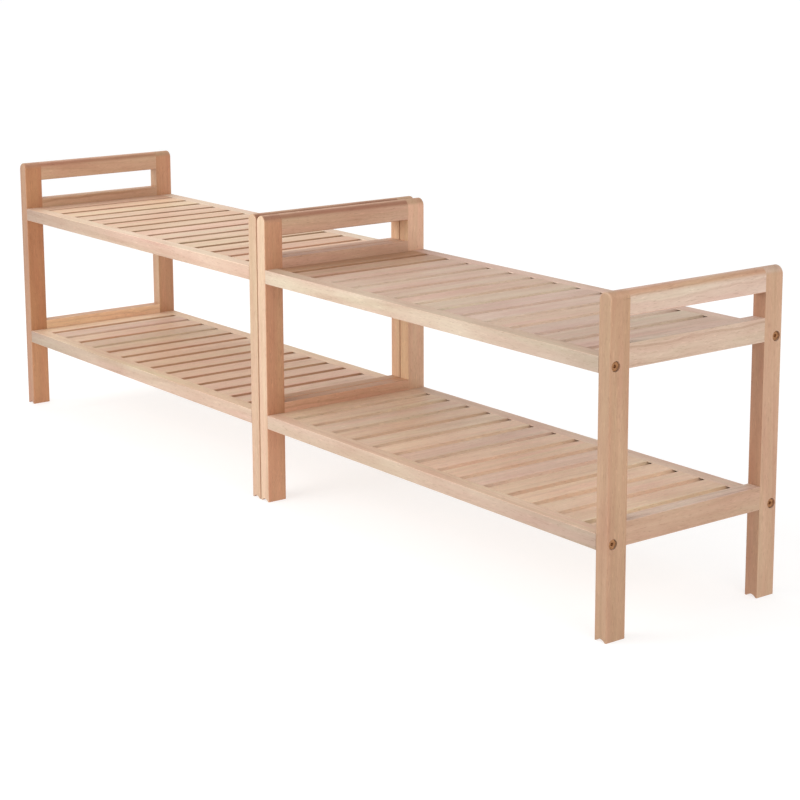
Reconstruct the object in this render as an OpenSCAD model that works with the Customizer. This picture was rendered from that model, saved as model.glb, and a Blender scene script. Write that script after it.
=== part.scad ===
// Two-tier slatted entryway bench: two identical free-standing units, butted end to end.
// X runs along the bench, Y from front to rear, Z up. The origin is on the floor, under the
// middle of the whole bench.

/* [Unit] */
// Length of one unit, over its end frames
unit_l = 735; // [600:5:900]
// Depth of the bench, front to rear
unit_d = 286; // [220:1:340]
// Height of the end frames
unit_h = 420; // [380:1:480]
// Gap left between the two units
unit_gap = 2; // [1:0.5:20]

/* [End frames] */
// Thickness of the legs and end rails
frame_t = 20; // [18:1:26]
// Width of a leg, front to rear
leg_w = 30; // [28:1:40]
// Height of the three rails of an end frame
end_rail_h = 30; // [28:1:40]
// Height of the hand slot under the handle rail
hand_slot_h = 32; // [20:1:50]
// Depth of the stacking groove in each foot
foot_groove_h = 3.5; // [2:0.5:5]

/* [Shelves] */
// Height of the lower shelf's top surface
lower_shelf_z = 130; // [80:1:160]
// Height of the front and rear shelf rails
shelf_rail_h = 20; // [18:1:26]
// Width of the front and rear shelf rails, front to rear
shelf_rail_w = 22; // [20:1:26]
// Number of full slats in a shelf
slat_count = 13; // [9:1:17]
// Width of the slots between slats
slot_w = 12; // [6:0.5:14]
// Width of the end slat beside each end frame
end_slat_w = 33; // [20:1:45]
// Thickness of the slats
slat_t = 12; // [10:1:15]
// Thickness of the tongue on each end of a slat
tongue_t = 9; // [4:0.5:9]

/* [Fasteners] */
// Diameter of the frame bolts
bolt_d = 6; // [5:0.5:6]
// Diameter of the bolt heads
bolt_head_d = 12; // [10:0.5:12]
// Diameter of the counterbores in the legs
counterbore_d = 13; // [13:0.5:14]
// Diameter of the dowels in the end frames
dowel_d = 8; // [6:1:8]

/* [Hidden] */
wood_light = [0.90, 0.76, 0.62];
wood_mid = [0.85, 0.68, 0.53];
wood_warm = [0.80, 0.62, 0.47];
steel_dark = [0.30, 0.25, 0.21];
brass = [0.72, 0.58, 0.30];

inner_l = unit_l - 2 * frame_t;
rail_span = unit_d - 2 * leg_w;
bullnose_r = frame_t / 2;
front_y = -unit_d / 2;

// Each cross rail stands half above its shelf; the hand slot sits between the top two rails.
upper_shelf_z = unit_h - 1.5 * end_rail_h - hand_slot_h;
shelf_z = [["lower", lower_shelf_z], ["upper", upper_shelf_z]];
handle_rail_z = unit_h - end_rail_h;

slat_w = (inner_l - 2 * end_slat_w - (slat_count + 1) * slot_w) / slat_count;
slat_pitch = slat_w + slot_w;
slat_span = unit_d - 2 * shelf_rail_w;
tongue_l = 5;
tongue_drop = (slat_t - tongue_t) / 2;
groove_clearance = 0.1;

bolt_inset = 9;
bolt_l = 35;
bolt_head_h = 5;
socket_af = 4;
socket_depth = 2.5;
bolt_clearance = 0.25;
counterbore_depth = 7;
insert_d = 9;
insert_l = 15;
bolt_bore_l = 26;

dowel_l = 30;
dowel_in_leg = 11;
dowel_pitch = 12;
dowel_clearance = 0.05;
dowel_end_gap = 0.5;

eps = 1;
$fn = 64;

// name, X of the outer face, direction from the outer face towards the unit's shelves
END_FRAMES = [
    ["left_outer", -unit_gap / 2 - unit_l, 1],
    ["left_inner", -unit_gap / 2, -1],
    ["right_inner", unit_gap / 2, 1],
    ["right_outer", unit_gap / 2 + unit_l, -1],
];
// name, X of the unit's middle
UNITS = [
    ["left", -(unit_gap + unit_l) / 2],
    ["right", (unit_gap + unit_l) / 2],
];
FRAME_PARTS = [
    "front_leg", "rear_leg", "handle_rail", "upper_cross_rail", "lower_cross_rail",
    "dowels", "bolts", "inserts",
];
SHELF_PARTS = ["front_rail", "rear_rail", "slats", "end_slats"];
NODES = [
    for (f = END_FRAMES) for (p = FRAME_PARTS) str(f[0], "_", p),
    for (u = UNITS) for (s = shelf_z) for (p = SHELF_PARTS) str(u[0], "_", s[0], "_shelf_", p),
];
node = "all";

function wanted(name) = node == "all" || node == name;

// An end frame is drawn with its outer face on X = 0 and its shelves towards +X.
module at_frame(f) {
    if (f[2] > 0)
        translate([f[1], 0, 0]) children();
    else
        translate([f[1], 0, 0]) mirror([1, 0, 0]) children();
}

// Draws its children at the front and mirrored to the rear.
module front_and_rear() {
    children();
    mirror([0, 1, 0]) children();
}

module rod_x(d, l, x, y, z) {
    translate([x, y, z]) rotate([0, 90, 0]) cylinder(d = d, h = l);
}

module rod_y(d, l, x, y, z) {
    translate([x, y, z]) rotate([-90, 0, 0]) cylinder(d = d, h = l);
}

// Section of an end frame across its thickness: rounded top edge, grooved foot.
module frame_section() {
    difference() {
        union() {
            square([frame_t, unit_h - bullnose_r]);
            translate([bullnose_r, unit_h - bullnose_r]) circle(r = bullnose_r);
        }
        translate([bullnose_r, foot_groove_h - bullnose_r]) circle(r = bullnose_r);
    }
}

module frame_bar(y, l) {
    translate([0, y + l, 0]) rotate([90, 0, 0]) linear_extrude(l) frame_section();
}

// Z of the middle of every rail of an end frame
function end_rail_mids() = [lower_shelf_z, upper_shelf_z, unit_h - end_rail_h / 2];

// Dowels of the front leg, or their holes when grown by the clearances.
module front_dowels(grow = 0, longer = 0) {
    for (z = end_rail_mids()) for (side = [-1, 1])
        rod_y(
            dowel_d + 2 * grow, dowel_l + 2 * longer,
            frame_t / 2, front_y + leg_w - dowel_in_leg - longer, z + side * dowel_pitch / 2
        );
}

module dowel_holes() {
    front_and_rear() front_dowels(dowel_clearance, dowel_end_gap);
}

function bolt_z(top) = top - shelf_rail_h / 2;

// Places its children on the axis of every bolt of an end frame, at the leg's outer face.
module at_bolts() {
    front_and_rear() for (s = shelf_z)
        translate([0, front_y + bolt_inset, bolt_z(s[1])]) children();
}

// Stepped hole in the leg: counterbore from the outer face, then a clearance hole.
module leg_bolt_holes() {
    at_bolts() {
        rod_x(counterbore_d, counterbore_depth + eps, -eps, 0, 0);
        rod_x(bolt_d + 2 * bolt_clearance, frame_t + 2 * eps, -eps, 0, 0);
    }
}

module front_leg() {
    color(wood_mid) difference() {
        frame_bar(front_y, leg_w);
        leg_bolt_holes();
        dowel_holes();
    }
}

module rear_leg() {
    mirror([0, 1, 0]) front_leg();
}

module handle_rail() {
    color(wood_warm) difference() {
        intersection() {
            frame_bar(front_y + leg_w, rail_span);
            translate([-eps, -unit_d, handle_rail_z])
                cube([frame_t + 2 * eps, 2 * unit_d, end_rail_h + eps]);
        }
        dowel_holes();
    }
}

// A cross rail is centred on the top surface of its shelf.
module cross_rail(mid_z) {
    color(wood_warm) difference() {
        translate([0, front_y + leg_w, mid_z - end_rail_h / 2])
            cube([frame_t, rail_span, end_rail_h]);
        dowel_holes();
    }
}

module dowels() {
    color(wood_light) front_and_rear() front_dowels();
}

module bolt() {
    difference() {
        union() {
            rod_x(bolt_head_d, bolt_head_h, counterbore_depth - bolt_head_h, 0, 0);
            rod_x(bolt_d, bolt_l, counterbore_depth, 0, 0);
        }
        translate([counterbore_depth - bolt_head_h - eps, 0, 0]) rotate([0, 90, 0])
            cylinder(d = socket_af / cos(30), h = socket_depth + eps, $fn = 6);
    }
}

module bolts() {
    color(steel_dark) at_bolts() bolt();
}

module inserts() {
    color(brass) at_bolts() difference() {
        rod_x(insert_d, insert_l, frame_t, 0, 0);
        rod_x(bolt_d + dowel_clearance, insert_l + 2 * eps, frame_t - eps, 0, 0);
    }
}

// Bores in both ends of a shelf rail, for the inserts and for the tips of the bolts.
module rail_bores(top) {
    for (side = [0, 1]) mirror([side, 0, 0])
        translate([-inner_l / 2, front_y + bolt_inset, bolt_z(top)]) {
            rod_x(insert_d, insert_l + eps, -eps, 0, 0);
            rod_x(bolt_d + 2 * bolt_clearance, bolt_bore_l + eps, -eps, 0, 0);
        }
}

// Groove for the slats' tongues, along the inner side of the front rail.
module tongue_groove(top) {
    groove_w = tongue_l + groove_clearance;
    translate([
        -inner_l / 2 - eps,
        front_y + shelf_rail_w - groove_w,
        top - tongue_drop - tongue_t - groove_clearance
    ]) cube([inner_l + 2 * eps, groove_w + eps, tongue_t + 2 * groove_clearance]);
}

module front_rail(top) {
    color(wood_light) difference() {
        translate([-inner_l / 2, front_y, top - shelf_rail_h])
            cube([inner_l, shelf_rail_w, shelf_rail_h]);
        tongue_groove(top);
        rail_bores(top);
    }
}

module rear_rail(top) {
    mirror([0, 1, 0]) front_rail(top);
}

// One slat from x to x + w: the visible board, and a tongue into both shelf rails.
module slat(x, w, top) {
    translate([x, -slat_span / 2, top - slat_t]) cube([w, slat_span, slat_t]);
    translate([x, -slat_span / 2 - tongue_l, top - tongue_drop - tongue_t])
        cube([w, slat_span + 2 * tongue_l, tongue_t]);
}

module slats(top) {
    first_x = -inner_l / 2 + end_slat_w + slot_w;
    color(wood_light) for (i = [0 : slat_count - 1])
        slat(first_x + i * slat_pitch, slat_w, top);
}

module end_slats(top) {
    color(wood_light) {
        slat(-inner_l / 2, end_slat_w, top);
        slat(inner_l / 2 - end_slat_w, end_slat_w, top);
    }
}

for (f = END_FRAMES) at_frame(f) {
    if (wanted(str(f[0], "_front_leg"))) front_leg();
    if (wanted(str(f[0], "_rear_leg"))) rear_leg();
    if (wanted(str(f[0], "_handle_rail"))) handle_rail();
    if (wanted(str(f[0], "_upper_cross_rail"))) cross_rail(upper_shelf_z);
    if (wanted(str(f[0], "_lower_cross_rail"))) cross_rail(lower_shelf_z);
    if (wanted(str(f[0], "_dowels"))) dowels();
    if (wanted(str(f[0], "_bolts"))) bolts();
    if (wanted(str(f[0], "_inserts"))) inserts();
}
for (u = UNITS) for (s = shelf_z) translate([u[1], 0, 0]) {
    if (wanted(str(u[0], "_", s[0], "_shelf_front_rail"))) front_rail(s[1]);
    if (wanted(str(u[0], "_", s[0], "_shelf_rear_rail"))) rear_rail(s[1]);
    if (wanted(str(u[0], "_", s[0], "_shelf_slats"))) slats(s[1]);
    if (wanted(str(u[0], "_", s[0], "_shelf_end_slats"))) end_slats(s[1]);
}
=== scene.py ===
"""Looks of a two-tier slatted entryway bench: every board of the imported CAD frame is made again
with eased edges and its own run of wood grain, on a plain pale floor in soft studio light."""

import math
import random

import bmesh
import bpy
from mathutils import Euler, Matrix, Vector


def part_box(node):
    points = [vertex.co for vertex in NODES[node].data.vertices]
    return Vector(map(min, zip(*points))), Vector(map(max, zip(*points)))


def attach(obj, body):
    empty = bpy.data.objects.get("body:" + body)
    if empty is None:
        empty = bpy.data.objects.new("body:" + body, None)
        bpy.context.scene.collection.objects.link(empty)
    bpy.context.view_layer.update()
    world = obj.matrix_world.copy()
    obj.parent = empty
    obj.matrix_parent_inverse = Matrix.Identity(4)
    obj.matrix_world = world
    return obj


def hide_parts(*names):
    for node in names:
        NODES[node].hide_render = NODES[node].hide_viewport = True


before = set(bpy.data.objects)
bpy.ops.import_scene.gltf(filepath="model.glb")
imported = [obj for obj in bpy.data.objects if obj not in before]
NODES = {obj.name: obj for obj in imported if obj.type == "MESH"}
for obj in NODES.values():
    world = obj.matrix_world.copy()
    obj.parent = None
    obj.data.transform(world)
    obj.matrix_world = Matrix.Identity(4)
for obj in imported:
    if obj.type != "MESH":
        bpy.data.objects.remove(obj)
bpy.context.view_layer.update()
MM = 0.001

# ---------------------------------------------------------------- the bench, as its frame has it
END_FRAMES = ("left_outer", "left_inner", "right_inner", "right_outer")
UNITS = ("left", "right")
TIERS = ("lower", "upper")
SIDES = ("front", "rear")
X, Y, Z = 0, 1, 2

# Half the thickness of an end frame, which is also the radius of its round top
LEG_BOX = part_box("left_outer_front_leg")
HALF_T = (LEG_BOX[1].x - LEG_BOX[0].x) / 2

# How far the edges are sanded back. Corners are where the legs' round tops meet the outer sides,
# and seams are where a board ends against its neighbour.
ARRIS = 1.0 * MM
CORNER_ARRIS = 2.5 * MM
SLAT_ARRIS = 0.8 * MM
FOOT_ARRIS = 0.4 * MM
HOLE_ARRIS = 0.4 * MM
BOLT_ARRIS = 0.5 * MM
SEAM = 0.2 * MM
ARRIS_SEGMENTS = 3

# Vertices closer than WELD are one, and faces within FLAT_ANGLE of each other are one face.
WELD = 0.001 * MM
FLAT_ANGLE = math.radians(0.5)

# Edges flatter than this are part of a curve, and stay as they are.
SMOOTH_ANGLE = math.radians(32)

# Points closer than TOUCH to a side of a board's box lie on it. The stacking groove and the
# leg's foot lie within FOOT_ZONE of the floor.
TOUCH = 0.02 * MM
FOOT_ZONE = 5 * MM

# A face with this much of the board's box still in front of it is inside a hole or a groove.
HOLLOW = 4.5 * MM

# Painted shade inside grooves, and on the rail sides that the slats stand against, as factors of
# red, green and blue. The plain factors paint none.
NO_PAINTED_SHADE = Vector((1, 1, 1))
PAINTED_GROOVE_SHADE = Vector((0.20, 0.14, 0.11))


# ---------------------------------------------------------------- meshes
def clean_copy(node):
    """The CAD node's surface as one closed mesh of whole faces."""
    bm = bmesh.new()
    bm.from_mesh(NODES[node].data)
    bmesh.ops.remove_doubles(bm, verts=bm.verts, dist=WELD)
    bmesh.ops.dissolve_limit(bm, angle_limit=FLAT_ANGLE, verts=bm.verts, edges=bm.edges)
    return bm


def islands(bm):
    """The vertices of each separate solid, ordered by where the solid starts along X, Y and Z."""
    left, found = set(bm.verts), []
    while left:
        group, reached = set(), [next(iter(left))]
        while reached:
            v = reached.pop()
            if v in left:
                left.discard(v)
                group.add(v)
                reached.extend(e.other_vert(v) for e in v.link_edges)
        found.append(group)

    def start(group):
        """To a tenth of a millimetre, so that rounding errors don't change the order."""
        return tuple(round(min(v.co[i] for v in group), 4) for i in range(3))
    return sorted(found, key=start)


def solids(node):
    """Each separate solid of a CAD node, as its own bmesh."""
    whole = clean_copy(node)
    whole.verts.ensure_lookup_table()
    whole.verts.index_update()
    groups = [{v.index for v in g} for g in islands(whole)]
    for group in groups:
        bm = whole.copy()
        away = [v for v in bm.verts if v.index not in group]
        bmesh.ops.delete(bm, geom=away, context="VERTS")
        yield bm
    whole.free()


def corners(points):
    """The lowest and the highest corner of the points' box."""
    return [Vector(pick(p[i] for p in points) for i in range(3)) for pick in (min, max)]


def ease_edges(name, bm, width_of, widest):
    """A mesh of bm with each sharp edge rounded as far as width_of says, and the rounded faces
    marked 1 in the face attribute 'arris'."""
    weight = bm.edges.layers.float.new("bevel_weight_edge")
    box = corners([v.co for v in bm.verts])
    for e in bm.edges:
        if e.calc_face_angle(0) > SMOOTH_ANGLE:
            e[weight] = width_of((e.verts[0].co + e.verts[1].co) / 2, e, box) / widest
    rough = bpy.data.meshes.new(name + "_rough")
    bm.to_mesh(rough)
    bm.free()
    carrier = bpy.data.objects.new(name + "_rough", rough)
    bpy.context.scene.collection.objects.link(carrier)
    for slot in ("body", "arris"):
        rough.materials.append(bpy.data.materials.get(slot) or bpy.data.materials.new(slot))
    bevel = carrier.modifiers.new("ease", "BEVEL")
    bevel.limit_method = "WEIGHT"
    bevel.width = widest
    bevel.segments = ARRIS_SEGMENTS
    bevel.use_clamp_overlap = False
    bevel.material = 1
    done = carrier.evaluated_get(bpy.context.evaluated_depsgraph_get())
    mesh = bpy.data.meshes.new_from_object(done)
    bpy.data.objects.remove(carrier)
    bpy.data.meshes.remove(rough)
    note(mesh, "arris", "FACE", [float(p.material_index) for p in mesh.polygons])
    for p in mesh.polygons:
        p.material_index = 0
    mesh.materials.clear()
    mesh.attributes.remove(mesh.attributes["bevel_weight_edge"])
    mesh.shade_smooth()
    mesh.set_sharp_from_angle(angle=SMOOTH_ANGLE)
    return mesh


def on_plane(point, box, axis, side):
    return abs(point[axis] - box[side][axis]) < TOUCH


def planes_met(point, box):
    """How many sides of the box the point lies on."""
    return sum(on_plane(point, box, axis, side) for axis in range(3) for side in (0, 1))


def finish_piece(name, mesh, node, slot, material):
    """Links the mesh as a piece that rides on the bench and stands for its CAD node."""
    mesh.name = name
    mesh.materials.append(material)
    piece = bpy.data.objects.new(name, mesh)
    bpy.context.scene.collection.objects.link(piece)
    normals = piece.modifiers.new("flat_faces", "WEIGHTED_NORMAL")
    normals.keep_sharp = True
    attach(piece, "root")
    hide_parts(node)


# ---------------------------------------------------------------- wood
dice = random.Random(7)

# How far a board's own axes may turn about its length and lean across it, in degrees, how far
# from the pith it may be cut, and how far up the tree, in metres
TURN_AND_LEAN = (180, 1.6, 1.6)
CUT_FROM_PITH = (0.05, 0.12)
CUT_UP_TREE = (0, 20)

# How fast a round top's shade goes over to the painted shade of its shoulders
SHOULDER_SHADE_REACH = 5


def note(mesh, name, domain, values):
    """Stores one vector or one number for each vertex or face."""
    kind, key = ("FLOAT", "value") if isinstance(values[0], float) else ("FLOAT_VECTOR", "vector")
    data = mesh.attributes.new(name, kind, domain).data
    for item, value in zip(data, values):
        setattr(item, key, value)


def inside(point, box):
    return all(low < p < high for low, p, high in zip(box[0], point, box[1]))


def face_shade(face, looks, box, hollows):
    """A flat face's shade goes with the way it looks, and so paints in the light and shade that
    side of the board gets. The shoulders of a round top get a painted shade, and the insides of
    grooves a dark painted shade."""
    n = face.normal
    # Shading by face direction paints in the light and shade each side of the board gets.
    shade = sum((look * (k * k) for look, k in zip(looks, n)), Vector())
    if len(looks) > 3:
        shade = shade.lerp(looks[3], min(1.0, SHOULDER_SHADE_REACH * (n.x * n.z) ** 2))
    if inside(face.center + HOLLOW * n, box):
        shade = shade * hollows
    return shade


def lay_grain(mesh, axis, looks, wave, figure, hollows, fade, slats_at):
    """Stores what the wood material reads.

    'grain' is the point's place in a tree of the board's own, in metres, with X along the fibres
    and the pith at Y = Z = 0. 'board' holds how wavy and how marked the rings are, and how far
    along the board the point is, from 0 to 1. 'fade' is painted shade: how much the front and
    rear faces darken by the far end, or by the near end if fade is below zero, where the light
    falls off. 'shade' is each face's colour, with the light and shade on that side painted in,
    and 'end_grain' is 1 on the cut ends. slats_at is 1 or -1 where slats stand against the
    board's +Y or -Y side, and that side then gets the painted shade of a groove's inside."""
    co = [v.co.copy() for v in mesh.vertices]
    faces = mesh.polygons
    box = corners(co)
    middle = sum(co, Vector()) / len(co)
    order = [axis, (axis + 1) % 3, (axis + 2) % 3]
    turn = [math.radians(dice.uniform(-most, most)) for most in TURN_AND_LEAN]
    lean = Euler(turn).to_matrix()
    radius = dice.uniform(*CUT_FROM_PITH)
    place = Vector((dice.uniform(*CUT_UP_TREE), radius, 0))
    local = [Vector((p - middle)[k] for k in order) for p in co]
    note(mesh, "grain", "POINT", [lean @ p + place for p in local])

    start, length = box[0][axis], box[1][axis] - box[0][axis]
    along = [(p[axis] - start) / length for p in co]
    if fade < 0:
        along = [1 - share for share in along]
    note(mesh, "board", "POINT", [Vector((wave, figure, share)) for share in along])
    note(mesh, "fade", "FACE", [abs(fade) * f.normal.y ** 2 for f in faces])

    if slats_at:
        box[max(slats_at, 0)].y += 2 * HOLLOW * slats_at
    note(mesh, "shade", "FACE", [face_shade(f, looks, box, hollows) for f in faces])
    note(mesh, "end_grain", "FACE", [max(0.0, 2 * abs(f.normal[axis]) - 1) for f in faces])


def srgb(r, g, b):
    """A colour named as a screen shows it, 0 to 255, as Blender's linear light."""
    def linear(c):
        c /= 255
        return c / 12.92 if c <= 0.04045 else ((c + 0.055) / 1.055) ** 2.4
    return (linear(r), linear(g), linear(b), 1.0)


class Tree:
    """Short calls for building a material's nodes. Each call returns an output socket."""

    def __init__(self, name):
        self.material = bpy.data.materials.new(name)
        self.material.use_nodes = True
        self.tree = self.material.node_tree
        self.shader = self.tree.nodes["Principled BSDF"]

    def node(self, kind, inputs, output=0, **settings):
        n = self.tree.nodes.new("ShaderNode" + kind)
        for key, value in settings.items():
            setattr(n, key, value)
        for key, value in inputs.items():
            self.feed(n.inputs[key], value)
        return n.outputs[output]

    def feed(self, socket, value):
        if isinstance(value, bpy.types.NodeSocket):
            self.tree.links.new(value, socket)
        else:
            socket.default_value = value

    def attribute(self, name, output="Fac"):
        return self.node("Attribute", {}, output, attribute_name=name)

    def math(self, operation, a, b=0.0, c=0.0):
        return self.node("Math", {0: a, 1: b, 2: c}, operation=operation)

    def clamped(self, a, low, high):
        return self.node("Clamp", {"Value": a, "Min": low, "Max": high})

    def span(self, value, low, high, to_low=0.0, to_high=1.0):
        inputs = {"Value": value, 1: low, 2: high, 3: to_low, 4: to_high}
        return self.node("MapRange", inputs, clamp=True, interpolation_type="SMOOTHSTEP")

    def scaled(self, vector, scale):
        return self.node("VectorMath", {0: vector, 1: scale}, operation="MULTIPLY")

    def noise(self, vector, scale, detail=2.0, roughness=0.5, output=0):
        inputs = {
            "Vector": self.scaled(vector, scale),
            "Scale": 1.0,
            "Detail": detail,
            "Roughness": roughness,
        }
        return self.node("TexNoise", inputs, output)

    def mix(self, factor, a, b, blend="MIX"):
        return self.node(
            "Mix", {0: factor, 6: a, 7: b}, output=2, data_type="RGBA", blend_type=blend
        )

    def times(self, a, b):
        return self.mix(1.0, a, b, "MULTIPLY")

    def centred(self, colour):
        inputs = {0: colour, 1: (0.5, 0.5, 0.5)}
        return self.node("VectorMath", inputs, operation="SUBTRACT")

    def pushed(self, place, push, reach):
        inputs = {0: push, 1: reach, 2: place}
        return self.node("VectorMath", inputs, operation="MULTIPLY_ADD")

    def swing(self, base, noise, strength):
        """base, moved up and down by a noise of mean 0.5."""
        return self.math("MULTIPLY_ADD", self.math("SUBTRACT", noise, 0.5), strength, base)

    def bump(self, height, strength, distance):
        inputs = {"Height": height, "Strength": strength, "Distance": distance}
        return self.node("Bump", inputs)


# The wood's noises: scale along and across the fibres, in cycles per metre, detail, roughness
WANDER = ((1.6, 11, 11), 2.0, 0.5)
RIPPLE = ((11, 16, 16), 2.0, 0.5)
BANDS = ((2.6, 70, 70), 2.0, 0.5)
STREAKS = ((3.5, 120, 120), 3.0, 0.55)
MOTTLE = ((9, 30, 30), 3.0, 0.55)
MARKED = ((5, 17, 17), 2.0, 0.5)
FIBRES = ((14, 900, 900), 2.0, 0.6)
FLECKS = ((75, 520, 520), 2.0, 0.5)
PORES = ((110, 1500, 1500), 1.0, 0.5)
RINGS_PER_METRE = 190.0

# How far the rings wander and ripple across the board
WANDERS = 12 * MM
RIPPLES = 16 * MM

# What the wood's figure does to the board's own shade, as factors of red, green and blue
SOFT_WOOD = (1.08, 1.10, 1.11, 1)
DENSE_WOOD = (0.87, 0.82, 0.77, 1)
ROSY = (1.02, 0.94, 0.98, 1)
STRAWY = (0.94, 1.02, 0.97, 1)
RING = (0.72, 0.63, 0.57, 1)
FLECK = (1.22, 1.24, 1.26, 1)
PORE = (0.50, 0.42, 0.36, 1)
# A painted highlight on the rounded arrises
ARRIS_HIGHLIGHT = (1.08, 1.09, 1.10, 1)


def wood(name):
    """Light close-grained hardwood under a satin lacquer. It reads the board's own grain."""
    t = Tree(name)
    place = t.attribute("grain", "Vector")
    wave = t.node("SeparateXYZ", {"Vector": t.attribute("board", "Vector")}, "X")
    figure = wave.node.outputs["Y"]
    along = wave.node.outputs["Z"]

    # Growth rings: distance from the pith, wandering slowly along the board, and in wavy
    # boards rippling too.
    wander = t.centred(t.noise(place, *WANDER, "Color"))
    bent = t.pushed(place, wander, (0, WANDERS, WANDERS))
    ripple = t.centred(t.noise(place, *RIPPLE, "Color"))
    ripple = t.node("VectorMath", {0: ripple, "Scale": wave}, operation="SCALE")
    bent = t.pushed(bent, ripple, (0, RIPPLES, RIPPLES))
    flat = t.scaled(bent, (0, 1, 1))
    radius = t.node("VectorMath", {0: flat}, "Value", operation="LENGTH")
    ring_inputs = {"W": radius, "Scale": RINGS_PER_METRE, "Detail": 3.0, "Roughness": 0.55}
    rings = t.node("TexNoise", ring_inputs, noise_dimensions="1D")
    late = t.span(rings, 0.5, 0.72)

    bands = t.noise(bent, *BANDS)
    streaks = t.noise(bent, *STREAKS)
    mottle = t.noise(place, *MOTTLE)
    marked = t.noise(place, *MARKED)
    fibres = t.noise(place, *FIBRES)
    flecks = t.noise(bent, *FLECKS)
    pore = t.span(t.noise(place, *PORES), 0.62, 0.72)

    # The board's shade darkens along its fade, a painted shade where the light falls off, goes
    # from soft to dense wood, then from straw to rose, and then takes rings, light and dark flecks
    # and pores.
    faded = t.math("MULTIPLY", t.attribute("fade"), t.math("POWER", along, 3.0))
    tone = {0: t.attribute("shade", "Vector"), "Scale": t.math("SUBTRACT", 1.0, faded)}
    shade = t.node("VectorMath", tone, operation="SCALE")
    depth = t.swing(0.5, streaks, 1.4)
    depth = t.swing(depth, mottle, 1.5)
    depth = t.swing(depth, fibres, 0.45)
    colour = t.times(shade, t.mix(t.clamped(depth, 0.0, 1.0), SOFT_WOOD, DENSE_WOOD))
    hue = t.swing(t.swing(0.5, bands, 1.6), mottle, 0.9)
    colour = t.times(colour, t.mix(t.clamped(hue, 0.0, 1.0), STRAWY, ROSY))
    shown = t.math("MULTIPLY", t.span(marked, 0.35, 0.65, 0.25, 1.0), figure)
    colour = t.mix(t.math("MULTIPLY", late, shown), colour, t.times(colour, RING))
    colour = t.mix(t.span(flecks, 0.6, 0.72, 0.0, 0.6), colour, t.times(colour, FLECK))
    colour = t.mix(t.span(flecks, 0.38, 0.28, 0.0, 0.35), colour, t.times(colour, RING))
    colour = t.mix(t.math("MULTIPLY", pore, 0.45), colour, t.times(colour, PORE))

    # Cut ends drink more finish, and the rounded arrises get a painted highlight.
    ends = t.attribute("end_grain")
    colour = t.mix(t.math("MULTIPLY", ends, 0.35), colour, t.times(colour, RING))
    arris = t.attribute("arris")
    colour = t.mix(t.math("MULTIPLY", arris, 0.7), colour, t.times(colour, ARRIS_HIGHLIGHT))

    t.feed(t.shader.inputs["Base Color"], colour)
    rough = t.math("MULTIPLY_ADD", fibres, 0.16, 0.40)
    rough = t.math("MULTIPLY_ADD", ends, 0.15, rough)
    t.feed(t.shader.inputs["Roughness"], rough)
    relief = t.math("MULTIPLY_ADD", pore, -0.8, fibres)
    relief = t.math("MULTIPLY_ADD", late, -0.3, relief)
    t.feed(t.shader.inputs["Normal"], t.bump(relief, 0.25, 0.15 * MM))
    return t.material


def dowel_wood():
    """Birch dowel, with its fibres along Y."""
    t = Tree("dowel_wood")
    place = t.node("TexCoord", {}, "Object")
    streaks = t.noise(place, (1200, 40, 1200), 3.0, 0.6)
    colour = t.mix(t.span(streaks, 0.35, 0.7), srgb(226, 200, 160), srgb(190, 155, 112))
    t.feed(t.shader.inputs["Base Color"], colour)
    t.feed(t.shader.inputs["Roughness"], t.math("MULTIPLY_ADD", streaks, 0.2, 0.5))
    t.feed(t.shader.inputs["Normal"], t.bump(streaks, 0.4, 0.2 * MM))
    return t.material


def metal(name, light, dark, rough_low, rough_high, patch, metallic):
    """Plated metal, dulled in patches of the given size in metres."""
    t = Tree(name)
    place = t.node("TexCoord", {}, "Object")
    dull = t.noise(place, (1 / patch,) * 3, 4.0, 0.6)
    scratch = t.noise(place, (400, 4000, 4000), 2.0, 0.5)
    t.feed(t.shader.inputs["Base Color"], t.mix(t.span(dull, 0.35, 0.65), light, dark))
    t.feed(t.shader.inputs["Roughness"], t.span(dull, 0.3, 0.7, rough_low, rough_high))
    t.feed(t.shader.inputs["Normal"], t.bump(scratch, 0.3, 0.03 * MM))
    t.shader.inputs["Metallic"].default_value = metallic
    return t.material


WOOD = wood("bench_wood")
DOWEL = dowel_wood()
BRONZE = metal("bolt_bronze", srgb(184, 133, 90), srgb(152, 107, 70), 0.45, 0.65, 3 * MM, 0.6)
BRASS = metal("insert_brass", srgb(205, 170, 95), srgb(160, 125, 62), 0.3, 0.5, 2 * MM, 1.0)


# ---------------------------------------------------------------- boards
def leg_ease(side):
    """Legs are eased on their three free sides, and left sharp where the rails are glued on."""
    glued = 1 if side == "front" else 0

    def width(point, edge, box):
        if point.z < FOOT_ZONE:
            return FOOT_ARRIS
        if on_plane(point, box, Y, glued):
            at_top = point.z > box[1].z - HALF_T / 2
            return SEAM if planes_met(point, box) > 1 or at_top else 0.0
        if on_plane(point, box, Y, 1 - glued):
            rise = max(0.0, 1 - (box[1].z - point.z) / HALF_T)
            return ARRIS + rise * (CORNER_ARRIS - ARRIS)
        if planes_met(point, box) > 1:
            return ARRIS
        return HOLE_ARRIS if planes_met(point, box) == 1 else 0.0
    return width


def rail_ease(axis):
    """Rails are eased along their length, and left sharp at their glued ends."""
    def width(point, edge, box):
        if on_plane(point, box, axis, 0) or on_plane(point, box, axis, 1):
            outer = sum(
                on_plane(point, box, k, s) for k in range(3) if k != axis for s in (0, 1)
            )
            return SEAM if outer else 0.0
        return ARRIS if planes_met(point, box) > 1 else 0.0
    return width


def slat_ease(point, edge, box):
    """Slats are eased along their length, and left sharp where they meet the shelf rails."""
    at_end = on_plane(point, box, Y, 0) or on_plane(point, box, Y, 1)
    if planes_met(point, box) > 1 and not at_end:
        return SLAT_ARRIS
    return SEAM if on_plane(point, box, Z, 1) or on_plane(point, box, Z, 0) else 0.0
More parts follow.
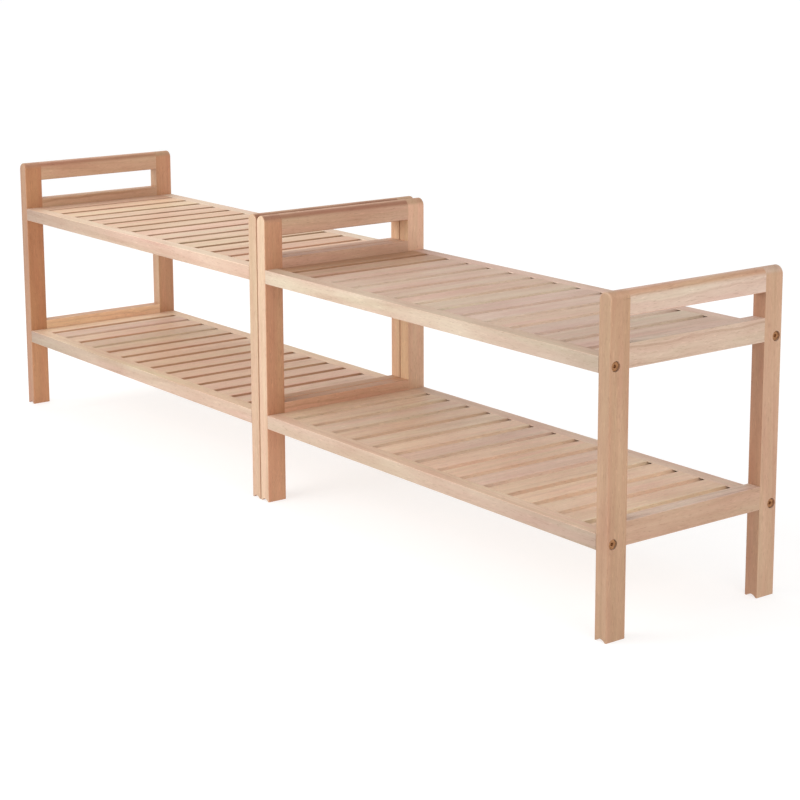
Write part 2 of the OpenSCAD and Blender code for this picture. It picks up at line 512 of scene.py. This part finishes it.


# Shades that the wood comes in, from deep to pale. Besides the wood's own tone they carry painted
# light and shade: each board and each face direction gets a shade for the light that falls there.
WALNUT = (167, 119, 92)
DUN = (175, 142, 112)
RUSSET = (176, 126, 98)
UMBER = (180, 137, 109)
WICKER = (188, 154, 127)
TAN = (186, 148, 117)
COPPER = (190, 135, 98)
AMBER = (203, 150, 115)
ASH = (192, 167, 148)
OAT = (196, 163, 136)
FAWN = (199, 160, 131)
HONEY = (203, 163, 134)
ROSE = (204, 175, 155)
SHELL = (212, 189, 172)
PALE_ROSE = (205, 181, 163)
WHEAT = (209, 178, 149)
PEACH = (212, 174, 146)
BISCUIT = (223, 189, 161)
BIRCH = (220, 193, 172)
CHALK = (223, 204, 187)
SAND = (227, 200, 176)
LINEN = (236, 207, 182)
APRICOT = (235, 188, 160)
CREAM = (242, 202, 167)
IVORY = (252, 216, 181)

# Each leg's side faces, and its front and rear faces. Their shades paint in the light and shade
# that falls on each face.
LEGS = {
    "left_outer_front": (COPPER, UMBER),
    "left_outer_rear": (AMBER, HONEY),
    "left_inner_front": (HONEY, OAT),
    "left_inner_rear": (APRICOT, CREAM),
    "right_inner_front": (AMBER, WHEAT),
    "right_inner_rear": (APRICOT, CREAM),
    "right_outer_front": (TAN, DUN),
    "right_outer_rear": (FAWN, UMBER),
}
# Each end frame's handle rail, upper and lower cross rails, and the crest and shoulders of its
# top.
# Light and shade are painted into them, and the shoulders' shade is painted shade.
RAILS = {
    "left_outer": (HONEY, HONEY, IVORY, TAN, RUSSET),
    "left_inner": (PEACH, PEACH, APRICOT, HONEY, WALNUT),
    "right_inner": (PEACH, PEACH, APRICOT, HONEY, WALNUT),
    "right_outer": (SHELL, ROSE, WICKER, ROSE, FAWN),
}
# Each shelf's front and rear rails at the front, the same rails on top, its slats and their sides.
# Light and shade are painted into them, and the slats' sides paint the slot walls lighter on the
# right upper shelf and darker on the left shelves.
SHELVES = {
    ("left", "lower"): (ROSE, LINEN, SAND, FAWN),
    ("left", "upper"): (ROSE, SAND, BISCUIT, WICKER),
    ("right", "lower"): (ASH, BIRCH, SAND, SAND),
    ("right", "upper"): (PALE_ROSE, ROSE, ROSE, CHALK),
}
# Painted shade: the fronts and backs of the shelf rails darken towards the bench's outer ends,
# where the light falls off.
OUTER_PAINTED_FALLOFF = {"left": -0.25, "right": 0.25}

# How wavy and how marked the growth rings are
PLAIN_GRAIN = {"wave": 0.1, "figure": 0.25}
LEG_GRAIN = {"wave": 0.2, "figure": 0.3}
CROSS_RAIL_GRAIN = {"wave": 0.8, "figure": 0.6}

# How much like boards differ: in red and blue, in brightness, and in how marked the rings are
HUE_DRIFT = (0.03, 0.04)
TONE_DRIFT = (0.97, 1.03)
FIGURE_DRIFT = (0.7, 1.3)

# Slats with a shade of their own: the darker ones near an end frame carry painted shade from the
# frame, and the others have tone that differs from plank to plank.
SHADED_AND_ODD_SLATS = {
    "left_upper_shelf_end_slat_01": PEACH,
    "left_upper_shelf_slat_12": PEACH,
    "left_lower_shelf_slat_01": BIRCH,
    "left_lower_shelf_slat_03": BIRCH,
    "left_lower_shelf_end_slat_02": LINEN,
    "right_upper_shelf_end_slat_01": UMBER,
    "right_upper_shelf_slat_01": WICKER,
    "right_lower_shelf_slat_05": LINEN,
    "right_lower_shelf_slat_06": BIRCH,
    "right_lower_shelf_slat_09": BIRCH,
}


def linear(shade):
    return Vector(srgb(*shade)[:3])


def board(
    name, node, bm, axis, width_of, widest, slot, looks,
    grain=PLAIN_GRAIN, hollows=NO_PAINTED_SHADE, fade=0.0, slats_at=0
):
    """looks are the wood's shades on faces that look along X, Y and Z, and on round shoulders.
    Besides the wood's tone they paint in the light and shade on each side, and shade on the
    shoulders.
    """
    mesh = ease_edges(name, bm, width_of, widest)
    red, blue = (dice.uniform(-most, most) for most in HUE_DRIFT)
    drift = Vector((red, 0, blue)) + Vector((1, 1, 1)) * dice.uniform(*TONE_DRIFT)
    looks = [linear(look) * drift for look in looks]
    figure = grain["figure"] * dice.uniform(*FIGURE_DRIFT)
    lay_grain(mesh, axis, looks, grain["wave"], figure, hollows, fade, slats_at)
    finish_piece(name, mesh, node, slot, WOOD)


def one_board(node, axis, width_of, widest, slot, looks, **character):
    """The board of a node that holds a single solid."""
    (bm,) = solids(node)
    board(node + "_board", node, bm, axis, width_of, widest, slot, looks, **character)


def end_frame(end):
    """Two legs and three cross rails, with painted shade on the handle's and front leg's
    shoulders.
    """
    handle, upper, lower, crest, shoulders = RAILS[end]
    for side in SIDES:
        sides, front = LEGS[f"{end}_{side}"]
        looks = (sides, front, crest, shoulders if side == "front" else crest)
        one_board(
            f"{end}_{side}_leg", Z, leg_ease(side), CORNER_ARRIS, "leg_wood", looks,
            grain=LEG_GRAIN
        )
    for rail, looks in (
        ("handle_rail", (handle, handle, crest, shoulders)),
        ("upper_cross_rail", (upper, upper, handle)),
        ("lower_cross_rail", (lower, lower, handle)),
    ):
        one_board(
            f"{end}_{rail}", Y, rail_ease(Y), ARRIS, "rail_wood", looks,
            grain=CROSS_RAIL_GRAIN
        )


def shelf(unit, tier):
    """Two rails along the shelf and the slats between them."""
    start = f"{unit}_{tier}_shelf_"
    front, top, slats, sides = SHELVES[unit, tier]
    # The rails get painted shade inside their grooves and on the side the slats stand against.
    for side, slats_at in (("front", 1), ("rear", -1)):
        looks = (front, front, top)
        one_board(
            f"{start}{side}_rail", X, rail_ease(X), ARRIS, "rail_wood", looks,
            hollows=PAINTED_GROOVE_SHADE, fade=OUTER_PAINTED_FALLOFF[unit], slats_at=slats_at
        )
    for group, word in (("slats", "slat"), ("end_slats", "end_slat")):
        for i, bm in enumerate(solids(start + group)):
            name = f"{start}{word}_{i + 1:02d}"
            odd = SHADED_AND_ODD_SLATS.get(name)
            looks = (odd, odd, odd) if odd else (sides, slats, slats)
            board(name, start + group, bm, Y, slat_ease, SLAT_ARRIS, "slat_wood", looks)


def bolt_ease(point, edge, box):
    """Only the head's rim and the mouth of its socket are rounded."""
    at_face = min(abs(point.x - box[s].x) for s in (0, 1)) < TOUCH
    return BOLT_ARRIS if at_face else 0.0


def fasteners(end):
    """The bolts are made again with rounded heads. The hidden dowels and inserts stay as they
    are in the frame."""
    node = f"{end}_bolts"
    for i, bm in enumerate(solids(node)):
        name = f"{end}_bolt_{i + 1}"
        mesh = ease_edges(name, bm, bolt_ease, BOLT_ARRIS)
        finish_piece(name, mesh, node, "bolt_steel", BRONZE)
    for group, material, slot in (
        ("dowels", DOWEL, "dowel_wood"),
        ("inserts", BRASS, "insert_brass"),
    ):
        obj = NODES[f"{end}_{group}"]
        obj.data.materials.clear()
        obj.data.materials.append(material)


for end in END_FRAMES:
    end_frame(end)
    fasteners(end)
for unit in UNITS:
    for tier in TIERS:
        shelf(unit, tier)


# ---------------------------------------------------------------- studio
WHITE = (1, 1, 1)
WARM_WHITE = (1.0, 0.97, 0.93)
SOFT_WHITE = (1.0, 0.97, 0.94)

# The floor is a sheet of white plastic lit from below, so that shadows on it stay faint.
FLOOR_SIZE = 30
FLOOR_LEVEL = -0.2 * MM
FLOOR_GLOW = 0.68

# How bright the white room is to the camera, and how much light it gives
ROOM_SEEN = 1.0
ROOM_LIGHT = 0.60

# Suns: direction they shine from, strength, width in degrees, colour
SUNS = {
    "key": ((-1.0, -2.4, 1.65), 0.95, 50, WHITE),
    "top": ((-0.6, 0.4, 2.0), 0.25, 60, WHITE),
}
# Softboxes: place, the point they face, width and height, watts, colour
SOFTBOXES = {
    "front_middle": ((0, -1.15, 0.7), (0, 0, 0.25), (0.7, 0.7), 5, WHITE),
    "left_top": ((-1.3, 0.2, 1.4), (-0.6, 0, 0.2), (0.8, 0.8), 6, WARM_WHITE),
    "right_end": ((1.9, -0.3, 0.9), (0.5, 0, 0.25), (0.9, 0.9), 6.5, SOFT_WHITE),
}

# The camera's place, its turn to the left, downwards and about its own axis in degrees, its lens
# in millimetres, and how far its picture is shifted, as a share of the picture's width
CAMERA_PLACE = (2.3802, -1.6896, 0.8618)
CAMERA_TURN = (52.855, 10.735, -0.217)
CAMERA_LENS = 90.66
CAMERA_SHIFT = -0.15


def floor():
    bpy.ops.mesh.primitive_plane_add(size=FLOOR_SIZE, location=(0, 0, FLOOR_LEVEL))
    obj = bpy.context.object
    obj.name = "floor"
    t = Tree("pale_floor")
    place = t.node("TexCoord", {}, "Object")
    cloud = t.noise(place, (0.8, 0.8, 0.8), 2.0, 0.5)
    t.feed(t.shader.inputs["Base Color"], t.mix(cloud, srgb(160, 160, 160), srgb(163, 163, 163)))
    t.shader.inputs["Roughness"].default_value = 0.9
    t.shader.inputs["Emission Color"].default_value = (*WHITE, 1)
    t.shader.inputs["Emission Strength"].default_value = FLOOR_GLOW
    obj.data.materials.append(t.material)


def softbox(name, place, target, size, power, colour):
    """A rectangle of even light that the camera doesn't see."""
    light = bpy.data.lights.new(name, "AREA")
    light.shape = "RECTANGLE"
    light.size, light.size_y = size
    light.energy = power
    light.color = colour
    obj = bpy.data.objects.new(name, light)
    obj.visible_camera = False
    aim(obj, place, target)


def soft_sun(name, place, strength, spread, colour):
    """Even light over the whole floor, from the direction of place, as wide as spread degrees."""
    light = bpy.data.lights.new(name, "SUN")
    light.energy = strength
    light.angle = math.radians(spread)
    light.color = colour
    aim(bpy.data.objects.new(name, light), place, (0, 0, 0))


def aim(obj, place, target):
    obj.location = place
    obj.rotation_euler = (Vector(target) - Vector(place)).to_track_quat("-Z", "Y").to_euler()
    bpy.context.scene.collection.objects.link(obj)


def white_room():
    world = bpy.data.worlds.new("studio")
    bpy.context.scene.world = world
    world.use_nodes = True
    nodes, links = world.node_tree.nodes, world.node_tree.links
    nodes.clear()
    seen = nodes.new("ShaderNodeBackground")
    seen.inputs["Color"].default_value = (*WHITE, 1)
    seen.inputs["Strength"].default_value = ROOM_SEEN
    lit = nodes.new("ShaderNodeBackground")
    lit.inputs["Color"].default_value = (*WHITE, 1)
    lit.inputs["Strength"].default_value = ROOM_LIGHT
    ray = nodes.new("ShaderNodeLightPath")
    mix = nodes.new("ShaderNodeMixShader")
    out = nodes.new("ShaderNodeOutputWorld")
    links.new(ray.outputs["Is Camera Ray"], mix.inputs[0])
    links.new(lit.outputs[0], mix.inputs[1])
    links.new(seen.outputs[0], mix.inputs[2])
    links.new(mix.outputs[0], out.inputs["Surface"])


def camera():
    cam = bpy.data.cameras.new("camera")
    cam.sensor_width = 36.0
    cam.lens = CAMERA_LENS
    cam.shift_y = CAMERA_SHIFT
    cam.clip_start, cam.clip_end = 0.1, 100.0
    obj = bpy.data.objects.new("camera", cam)
    yaw, down, roll = (math.radians(angle) for angle in CAMERA_TURN)
    turn = Euler((math.pi / 2 - down, 0, yaw)).to_matrix() @ Matrix.Rotation(roll, 3, "Z")
    obj.matrix_world = Matrix.Translation(CAMERA_PLACE) @ turn.to_4x4()
    bpy.context.scene.collection.objects.link(obj)
    bpy.context.scene.camera = obj


floor()
white_room()
for name, settings in SUNS.items():
    soft_sun(name, *settings)
for name, settings in SOFTBOXES.items():
    softbox(name, *settings)
camera()
bpy.context.scene.view_settings.view_transform = "Standard"
